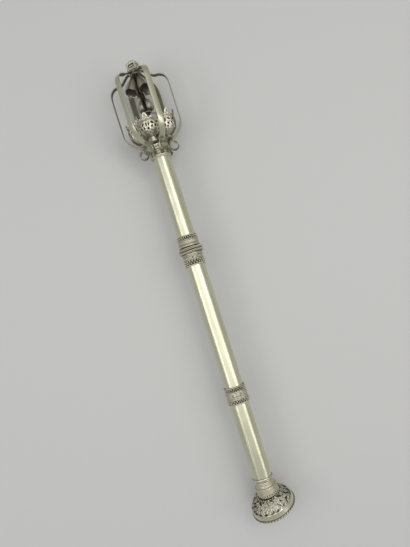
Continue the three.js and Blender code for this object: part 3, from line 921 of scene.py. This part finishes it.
def bezier(p0, p1, p2, p3, n):
    t = np.linspace(0, 1, n + 1)[1:, None]
    p0, p1, p2, p3 = (np.array(p, float) for p in (p0, p1, p2, p3))
    return (1 - t) ** 3 * p0 + 3 * (1 - t) ** 2 * t * p1 + 3 * (1 - t) * t * t * p2 + t**3 * p3


def strap_line(r_cage, lift):
    sh, top = 468 + lift, 482.6 + lift
    a = np.linspace(442, 120, 72)
    r = VOLUTE_R + 2.0 * np.exp(-(a - 120) / 32)
    pts = [np.stack([VOLUTE_RHO + r * np.cos(a * RAD), VOLUTE_Y + r * np.sin(a * RAD)], 1)]
    p = pts[0][-1]
    c, s = math.cos(30 * RAD), math.sin(30 * RAD)
    q = p + 6.4 * np.array([c, s])
    pts.append(p + np.linspace(0, 1, 6)[1:, None] * (q - p))
    pts.append(bezier(q, q + 8 * np.array([c, s]), (r_cage, 414), (r_cage, 423), 22))
    pts.append(np.stack([np.full(22, r_cage), np.linspace(423, sh, 23)[1:]], 1))
    pts.append(bezier((r_cage, sh), (r_cage, sh + 9.5), (r_cage - 4, top), (r_cage - 13, top), 22))
    pts.append(bezier((r_cage - 13, top), (16.5, top + 0.3), (12.5, 489.8), (7.4, 490.2), 16))
    return np.concatenate(pts)


def strap(name, az, r_cage, lift, thick, sway, seed):
    line = strap_line(r_cage, lift)
    n = len(line)
    tan = np.gradient(line, axis=0)
    tan /= np.linalg.norm(tan, axis=1)[:, None]
    nor = np.stack([-tan[:, 1], tan[:, 0]], 1)
    # the side away from the shaft's axis is the outer one
    w, t = STRAP_W / 2, thick / 2
    e = 0.28
    sec = [(-w, -t + e), (-w + e, -t)]
    sec += [(x, -t - 0.0) for x in (-w * 0.4, w * 0.4)]
    sec += [(w - e, -t), (w, -t + e), (w, t - 0.34), (w - 0.5, t)]
    dome = 0.22
    sec += [(x, t + dome * (1 - (x / w) ** 2)) for x in (w * 0.66, w * 0.33, 0, -w * 0.33, -w * 0.66)]
    sec += [(-w + 0.5, t), (-w, t - 0.34)]
    sec = np.array(sec)
    m = len(sec)
    g = np.random.default_rng(seed)
    wob = smooth_noise((n, 4), (12, 2), seed)
    width = 1 + 0.02 * wob[:, 1]
    s = np.linspace(0, 1, n)
    side = sway * np.sin(s * math.pi * 2.2 + 0.6) * np.clip((s - 0.42) * 6, 0, 1) * np.clip((1 - s) * 5, 0, 1)
    proud = 0.07 * smooth_noise((n, m), (26, 4), seed + 9)
    # in this drawing the curve's left-hand normal points inwards on the way up, so outward is minus
    v = np.zeros((n, m, 3))
    off = -(sec[None, :, 1] + np.where(sec[None, :, 1] > 0, proud, 0))
    v[:, :, 0] = line[:, None, 0] + nor[:, None, 0] * off
    v[:, :, 1] = line[:, None, 1] + nor[:, None, 1] * off
    v[:, :, 2] = sec[None, :, 0] * width[:, None] + side[:, None]
    p = v.reshape(-1, 3)
    k = len(p)
    a, b = v[0].mean(0), v[-1].mean(0)
    p = np.concatenate([p, [a, b]])
    i = np.arange(m)
    j = (i + 1) % m
    f = np.concatenate(
        [
            as_tris(grid_faces(n, m, False, True)),
            np.stack([i, j, np.full(m, k)], 1),
            np.stack([(n - 1) * m + j, (n - 1) * m + i, np.full(m, k + 1)], 1),
        ]
    )
    # painted shade: the inner face, turned to the shaft, 0.55 dark, the side faces and the volute a little, the ends
    # 0.3
    inner = np.where(sec[:, 1] < 0, 0.55, 0.0)
    edge = np.where(np.abs(sec[:, 0]) > w - 0.05, 0.12, 0.0)
    d = np.broadcast_to(np.maximum(inner, edge), (n, m)).copy()
    d[:70] = np.maximum(d[:70], 0.10)
    d = np.concatenate([d.reshape(-1), [0.3, 0.3]])
    # x is away from the axis, z along the strap's width
    w2 = turn_y(p, az - 90)
    make(name, [closed(w2, f, d)], STRAP, [name], sharp=50)


REACH = (35.0 + 0.65) * abs(math.cos(155.5 * RAD)) + STRAP_W / 2 * abs(math.sin(155.5 * RAD))
R_BACK_RIGHT = (REACH - STRAP_W / 2 * abs(math.sin(149.5 * RAD))) / abs(math.cos(149.5 * RAD)) - 0.65
strap("strap_front_left", -37.6, 35.0, 2.2, 1.3, 0.35, 31)
strap("strap_front_right", 22.4, 35.0, 2.2, 1.3, -0.2, 32)
strap("strap_right", 84.5, 34.8, -3.0, 1.2, 0.15, 33)
strap("strap_back_right", 149.5, R_BACK_RIGHT, 0.0, 1.3, 0.0, 34)
strap("strap_back_left", -155.5, 35.0, 0.0, 1.3, 0.0, 35)
strap("strap_left", -93.5, 35.4, -2.6, 1.2, -0.15, 36)


# ------------------------------------------------------------ hub and finial
def hub():
    y = np.concatenate([[486.4, 486.6, 487.0], np.linspace(487.4, 492.0, 16), [492.3, 492.5]])
    r = np.concatenate([[4.4, 5.0, 6.0], 6.75 + 0.22 * np.sin(np.linspace(0, 3, 16) * math.pi), [6.6, 6.2]])
    # painted shade in the grooves between the flutes, and half dark on the underside below them
    s = solid_of_turn(list(zip(y, r)), 120, lambda T, Y, q: q + 0.12 * np.cos(40 * T) * ((Y > 488) & (Y < 491.4)), lambda T, Y, q: 0.45 - 0.45 * np.cos(40 * T) * (Y > 488))
    make("cage_hub", [s], CAST, ["cage_hub"])


hub()


def finial():
    a = 5.8
    top = 506.4
    # (height, half side, roundness of the corner)
    prof = [
        (492.8, 6.35, 14), (493.0, 6.55, 14), (494.3, 6.55, 14), (494.55, 6.35, 14), (494.9, 5.9, 16), (495.2, 5.8, 18),
    ]
    prof += [(y, 5.8, 18) for y in np.linspace(495.4, 500.6, 22)]
    prof += [
        (500.8, 5.9, 16), (501.1, 6.15, 14), (501.8, 6.2, 14), (502.1, 6.0, 14), (502.6, 5.3, 10), (503.2, 4.7, 8), (503.9, 4.1, 6),
        (504.6, 3.3, 4), (505.3, 2.4, 3), (505.8, 1.6, 2.4), (506.2, 0.8, 2), (top, 0.25, 2),
    ]
    nth = 160
    th = np.arange(nth) / nth * TAU
    y = np.array([p[0] for p in prof])
    hs = np.array([p[1] for p in prof])
    e = np.array([p[2] for p in prof])
    T, Y = np.meshgrid(th, y, indexing="ij")
    c, s = np.abs(np.sin(T)), np.abs(np.cos(T))
    r = hs[None, :] / (c ** e[None, :] + s ** e[None, :]) ** (1 / e[None, :])
    # recessed panel on each side
    u = r * np.sin(T)
    w = r * np.cos(T)
    across = np.minimum(np.abs(u), np.abs(w))
    inpan = np.clip((3.9 - across) / 0.35, 0, 1) * np.clip((Y - 495.9) / 0.3, 0, 1) * np.clip((500.0 - Y) / 0.3, 0, 1)
    # and a raised bar across it
    bar = np.clip((3.0 - across) / 0.3, 0, 1) * np.clip((1.0 - np.abs(Y - 497.9)) / 0.3, 0, 1)
    cut = -0.95 * inpan + 0.7 * bar * inpan
    k = (r + cut) / r
    p = np.stack([u * k, Y, w * k], -1)
    n = len(y)
    v = np.concatenate([p.reshape(-1, 3), [[0, y[0], 0], [0, top, 0]]])
    i = np.arange(nth)
    j = (i + 1) % nth
    f = np.concatenate(
        [as_tris(grid_faces(nth, n, True)), np.stack([j * n, i * n, np.full(nth, nth * n)], 1), np.stack([i * n + n - 1, j * n + n - 1, np.full(nth, nth * n + 1)], 1)]
    )
    # tarnish and painted shade in the recessed panels (not on the bar), a painted shade line in the crease above the
    # base (494.9)
    d = np.clip(inpan - bar, 0, 1) * 0.9
    d = np.maximum(d, 0.6 * np.exp(-(((Y - 494.9) / 0.3) ** 2)))
    v = turn_y(v, -20)
    make("finial_block", [closed(v, f, np.concatenate([d.reshape(-1), [0.3, 0.0]]))], CAST, ["finial_block"], sharp=30)


finial()

# ------------------------------------------------------------ foot
BEND_Z, BEND_X, BEND_LEN, DOME_SHIFT = 14.0, 10.0, 15.5, -2.2
_s = np.linspace(0, 40, 1601)
_l = np.clip(_s / BEND_LEN, 0, 1)
_a, _b = BEND_Z * RAD * _l, BEND_X * RAD * _l
_n = np.stack([np.sin(_b) * np.cos(_a), -np.cos(_b) * np.cos(_a), -np.sin(_a)], 1)
_c = np.concatenate([[[0, 0, 0]], np.cumsum((_n[1:] + _n[:-1]) / 2 * (_s[1] - _s[0]), 0)])


def bent(shift=0.0):
    def place(v):
        s = -v[:, 1]
        l = np.clip(s / BEND_LEN, 0, 1)
        a, b = BEND_Z * RAD * l, BEND_X * RAD * l
        n = np.stack([np.sin(b) * np.cos(a), -np.cos(b) * np.cos(a), -np.sin(a)], 1)
        x = np.stack([np.cos(b), np.sin(b), 0 * b], 1)
        z = np.cross(x, -n)
        c = np.stack([np.interp(s, _s, _c[:, i]) for i in range(3)], 1)
        return c + x * (v[:, :1] + shift) + z * v[:, 2:3]

    return place


def foot_collar(T, Y):
    s = -Y
    h = np.zeros_like(T)
    for k, c in enumerate((1.5, 2.9, 4.3, 5.5)):
        h = np.maximum(h, wire(T, s, c, 0.72, 0.5, 46, 1 if k % 2 else -1, 0.35))
    for k, c in enumerate((6.9, 8.2, 9.5, 10.8, 12.1)):
        h = np.maximum(h, wire(T, s, c, 0.66, 0.42, 50, 1 if k % 2 else -1, 0.4))
    h = np.maximum(h, beads(T, s, 13.6, 1.0, 26, 12.0, 0, 0.8))
    h = np.maximum(h, wire(T, s, 15.0, 0.5, 0.45, 60, 1))
    return h


make(
    "foot_collar",
    [
        sleeve(
            [(-15.4, 11.9), (-13.0, 11.9), (-12.6, 12.0), (-6.2, 11.9), (-5.9, 10.3), (-0.5, 10.1)],
            9.3, foot_collar, 124, 320, seed=7, place=bent(), dent=0.05, depth=0.5,
        )
    ],
    CAST, ["foot_collar"],
)

DOME = np.array([[12.6, 16.6], [14.9, 17.4], [17.8, 19.3], [20.6, 21.7], [22.9, 24.7], [24.4, 28.2], [25.0, 32.7]])
DOME_HOLES = [
    # azimuth, distance down the dome's surface, half-axes, slant
    (-52, 12.2, 1.0, 0.9, 20), (-36, 12.3, 0.95, 1.75, 6), (-44, 6.8, 1.5, 0.8, 25), (-23, 3.2, 0.75, 1.1, 0), (-8, 3.2, 0.75, 1.1, 0),
    (-19, 6.4, 1.0, 1.0, 0), (-20, 9.3, 0.8, 1.0, 0), (-11, 10.0, 0.85, 1.0, 0), (-18, 13.4, 0.95, 1.5, -28), (-2, 9.6, 0.8, 1.2, -20),
    (2, 12.8, 0.85, 1.1, -25), (3, 5.6, 0.8, 1.1, 10), (10, 8.2, 1.05, 1.15, 30), (17, 5.4, 0.75, 1.3, -25), (27, 4.3, 0.75, 1.35, -25),
    (16, 13.2, 1.0, 1.8, -20), (30, 11.4, 1.15, 1.0, 0), (38, 14.6, 0.9, 0.8, 0), (46, 8.6, 1.05, 1.0, 0), (57, 9.1, 0.9, 0.8, 10),
    (77, 8.6, 1.1, 0.9, 15), (76, 4.4, 0.8, 0.9, 0), (54, 14.2, 1.3, 0.85, -25), (-33, 5.2, 0.7, 1.0, 10), (-68, 10.8, 0.9, 0.8, 0),
    (-61, 4.6, 0.8, 1.0, 0), (56, 4.6, 0.8, 0.9, 0), (-6, 6.2, 0.55, 0.8, 0), (-30, 9.0, 0.6, 0.8, 0), (24, 8.6, 0.7, 0.8, 20),
    (38, 7.0, 0.6, 0.8, 0), (40, 11.0, 0.6, 0.8, 20), (64, 12.4, 0.8, 0.9, 0), (-52, 9.0, 0.6, 0.7, 0), (8, 10.9, 0.5, 0.6, 0),
    (-10, 13.2, 0.55, 0.7, 0), (24, 14.6, 0.5, 0.6, 0),
]


def dome():
    rs, ss = DOME.T
    arc = np.concatenate([[0], np.cumsum(np.hypot(np.diff(rs), np.diff(ss)))])
    total = arc[-1]
    nu, nv = 380, 66
    u = np.linspace(0, total, nv)
    r, s = np.interp(u, arc, rs), np.interp(u, arc, ss)
    for _ in range(4):
        r[1:-1] = 0.25 * r[:-2] + 0.5 * r[1:-1] + 0.25 * r[2:]
        s[1:-1] = 0.25 * s[:-2] + 0.5 * s[1:-1] + 0.25 * s[2:]
    th = np.arange(nu) / nu * TAU
    T, U = np.meshgrid(th, u, indexing="ij")
    R = np.broadcast_to(r, T.shape)
    holes = list(DOME_HOLES)
    # carry the same kind of openwork round the back and underside
    g = np.random.default_rng(5)
    az = 92.0
    tries = 0
    spots = [(h[0] * RAD, h[1]) for h in holes]
    while tries < 1500:
        tries += 1
        a, q = g.uniform(84, 284), g.choice([3.2, 6.2, 9.4, 12.6, 14.4])
        rr = np.interp(q, u, r)
        ok = not 125 < a < 238 and all(
            math.hypot(((a * RAD - t + math.pi) % TAU - math.pi) * rr, q - w) > 5.5 for t, w in spots
        )
        if ok:
            spots.append((a * RAD, q))
            big = g.uniform(0.7, 0.95)
            holes.append((a, q, big, big * g.uniform(0.8, 1.5), g.uniform(-30, 30)))
    f = np.full(T.shape, 9.0)
    for a, q, ha, hb, turn in holes:
        dx = ((T - a * RAD + math.pi) % TAU - math.pi) * np.interp(q, u, r)
        f = np.minimum(f, ellipse(dx, U - q, ha * 1.14, hb * 1.14, turn))
    band = U > 16.6
    # raised scrolls round the openings, leaf veins between them, a plain band below
    rim = np.exp(-(((f - 0.45) / 0.36) ** 2))
    leaf = 0.5 + 0.5 * np.cos(T * 21 + 1.7 * np.sin(U * 0.9) + U * 0.35)
    h = (0.42 * rim + 0.22 * leaf * np.clip((f - 0.5) / 0.8, 0, 1)) * np.clip((16.4 - U) / 1.0, 0, 1)
    h += np.where(band, 0.10, 0) + 0.07 * smooth_noise(h.shape, (40, 9), 9, True) * (~band) + 0.05 * smooth_noise(h.shape, (11, 5), 10, True)
    h += 0.4 * np.exp(-(((U - 16.5) / 0.4) ** 2))
    # tarnish and painted shade on the ground away from the openings, less on the raised leaf veins; a painted shade
    # line beside the ridge at 16.5 and painted shade where the dome meets the collar
    dk = np.clip((f - 0.65) / 0.5, 0, 1) * (0.9 - 0.5 * leaf) * np.clip((16.4 - U) / 0.6, 0, 1)
    dk = np.maximum(dk, 0.5 * np.exp(-(((U - 17.2) / 0.35) ** 2)))
    dk = np.maximum(dk, 0.6 * np.exp(-((U / 0.9) ** 2)))
    dr, dsn = np.gradient(r, u), np.gradient(s, u)
    ln = np.hypot(dr, dsn)
    nr, nsn = dsn / ln, -dr / ln
    field = np.where(f > 8, 8, f)

    def point(a, b):
        tt = a / nu * TAU
        idx = np.arange(nv)
        rr, sd = np.interp(b, idx, r), np.interp(b, idx, s)
        n1, n2 = np.interp(b, idx, nr), np.interp(b, idx, nsn)
        hh = sample(h, a, b)
        ro, so = rr + n1 * hh, sd + n2 * hh
        wall = 1.0
        ri, si = rr - n1 * wall, sd - n2 * wall
        o = np.stack([ro * np.sin(tt), -so, ro * np.cos(tt)], 1)
        i = np.stack([ri * np.sin(tt), -si, ri * np.cos(tt)], 1)
        return bent(DOME_SHIFT)(o), bent(DOME_SHIFT)(i)

    parts = [pierced(field, point, nu, nv, True, lambda a, b: sample(dk, a, b), 1.0)]
    # the shoulder that closes the dome round the shaft's end
    sh = bent(DOME_SHIFT)
    ring = np.array([[9.7, 16.65], [13.4, 16.65], [13.4, 17.5], [9.7, 17.5]])
    th2 = np.arange(96) / 96 * TAU
    rp = np.stack(
        [ring[None, :, 0] * np.sin(th2)[:, None], np.broadcast_to(-ring[None, :, 1], (96, 4)), ring[None, :, 0] * np.cos(th2)[:, None]], -1
    ).reshape(-1, 3)
    # the shoulder ring, inside the dome, is painted shade (0.7)
    parts.append(closed(sh(rp), grid_faces(96, 4, True, True), 0.7))
    # dotted ring where the collar meets the dome
    pl = bent(DOME_SHIFT * 0.6)
    for k in range(30):
        a = k / 30 * TAU
        v, ff, d = ball((13.1 * math.sin(a), -16.9, 13.1 * math.cos(a)), 0.85, dark=0.05)
        parts.append(closed(pl(v), ff, d))
    make("foot_dome", parts, PIERCED, ["foot_dome"])


dome()


def rim_rope():
    # twisted wire of lens section round the lip, flat underneath
    nth, m = 460, 18
    th = np.arange(nth) / nth * TAU
    a = np.linspace(0, TAU, m, endpoint=False)
    T, A = np.meshgrid(th, a, indexing="ij")
    g = np.abs(np.cos(0.5 * (44 * T + 1.1 * np.sin(A) * 2)))
    k = 0.66 + 0.34 * g**0.5
    rr = 25.0 + 1.3 * k * np.cos(A)
    ss = 34.1 + 1.32 * k * np.sin(A)
    ss = np.minimum(ss, 35.4)
    p = np.stack([rr * np.sin(T), -ss, rr * np.cos(T)], -1).reshape(-1, 3)
    # painted shade in the grooves between the twists, and on the side turned towards the dome
    d = np.clip(1.15 - g * 1.5, 0, 1).reshape(-1)
    d = np.maximum(d, (np.sin(A) < -0.6).reshape(-1) * 0.5)
    make(
        "foot_rim_rope",
        [closed(bent(DOME_SHIFT)(p), grid_faces(nth, m, True, True), d)],
        CAST, ["foot_rim_rope"], sharp=60,
    )


rim_rope()

# ------------------------------------------------------------ surface it lies on
me = bpy.data.meshes.new("surface")
me.from_pydata([(-3, -3, 0), (3, -3, 0), (3, 3, 0), (-3, 3, 0)], [], [(0, 1, 2, 3)])
floor = bpy.data.objects.new("surface", me)
bpy.context.scene.collection.objects.link(floor)
paper = bpy.data.materials.new("paper")
paper.use_nodes = True
nt = paper.node_tree
bs = nt.nodes["Principled BSDF"]
bs.inputs["Base Color"].default_value = (0.60, 0.60, 0.585, 1)
bs.inputs["Roughness"].default_value = 0.85
bs.inputs["Specular IOR Level"].default_value = 0.2
tc = nt.nodes.new("ShaderNodeTexCoord")
nz = nt.nodes.new("ShaderNodeTexNoise")
nz.inputs["Scale"].default_value = 500
nt.links.new(tc.outputs["Object"], nz.inputs["Vector"])
bp = nt.nodes.new("ShaderNodeBump")
bp.inputs["Strength"].default_value = 0.04
bp.inputs["Distance"].default_value = 0.0004
nt.links.new(nz.outputs["Fac"], bp.inputs["Height"])
nt.links.new(bp.outputs["Normal"], bs.inputs["Normal"])
me.materials.append(paper)

# ------------------------------------------------------------ camera
cam_at, look_at = world([7.36, 212.3, 597.3]), world([7.36, 241.05, 0])
view = (look_at - cam_at) / np.linalg.norm(look_at - cam_at)
back = -view
right = EX
up = np.cross(back, right)
rx, ux = 0.9532 * right - 0.3024 * up, 0.3024 * right + 0.9532 * up
cam_data = bpy.data.cameras.new("camera")
cam_data.sensor_fit = "AUTO"
cam_data.sensor_width = 36
cam_data.lens = 36 * 520 / 547
cam_data.clip_start = 0.01
cam = bpy.data.objects.new("camera", cam_data)
bpy.context.scene.collection.objects.link(cam)
m = Matrix.Identity(4)
for i in range(3):
    m[i][0], m[i][1], m[i][2], m[i][3] = rx[i], ux[i], back[i], cam_at[i]
cam.matrix_world = m
bpy.context.scene.camera = cam


# ------------------------------------------------------------ light
def area(name, at, aim, long_way, sx, sy, radiance, colour=(1, 1, 1)):
    """a soft box of sx by sy metres, its sx side along long_way, of even brightness"""
    d = bpy.data.lights.new(name, "AREA")
    d.shape = "RECTANGLE"
    d.size, d.size_y = sx, sy
    d.energy = radiance * math.pi * sx * sy
    d.color = colour
    o = bpy.data.objects.new(name, d)
    bpy.context.scene.collection.objects.link(o)
    z = (Vector(at) - Vector(aim)).normalized()
    x = Vector(long_way)
    x = (x - z * x.dot(z)).normalized()
    y = z.cross(x)
    o.matrix_world = Matrix.Translation(Vector(at)) @ Matrix((x, y, z)).transposed().to_4x4()
    return o


area("light_over", (-0.05, 0.02, 1.25), (-0.05, 0.02, 0), (1, 0, 0), 1.4, 0.9, 1.06)
area("light_left", (-1.12, -0.03, 1.16), (0, 0, 0), (0, 1, 0), 1.05, 0.5, 2.3)
area("light_right", (0.80, -0.02, 1.2), (0.1, 0, 0), (-0.69, 0.73, 0), 1.75, 0.42, 2.45, (1.0, 0.985, 0.95))

w = bpy.data.worlds.new("studio")
bpy.context.scene.world = w
w.use_nodes = True
bg = w.node_tree.nodes["Background"]
bg.inputs["Color"].default_value = (0.98, 0.99, 1.0, 1)
bg.inputs["Strength"].default_value = 0.42
bpy.context.scene.view_settings.view_transform = "Standard"
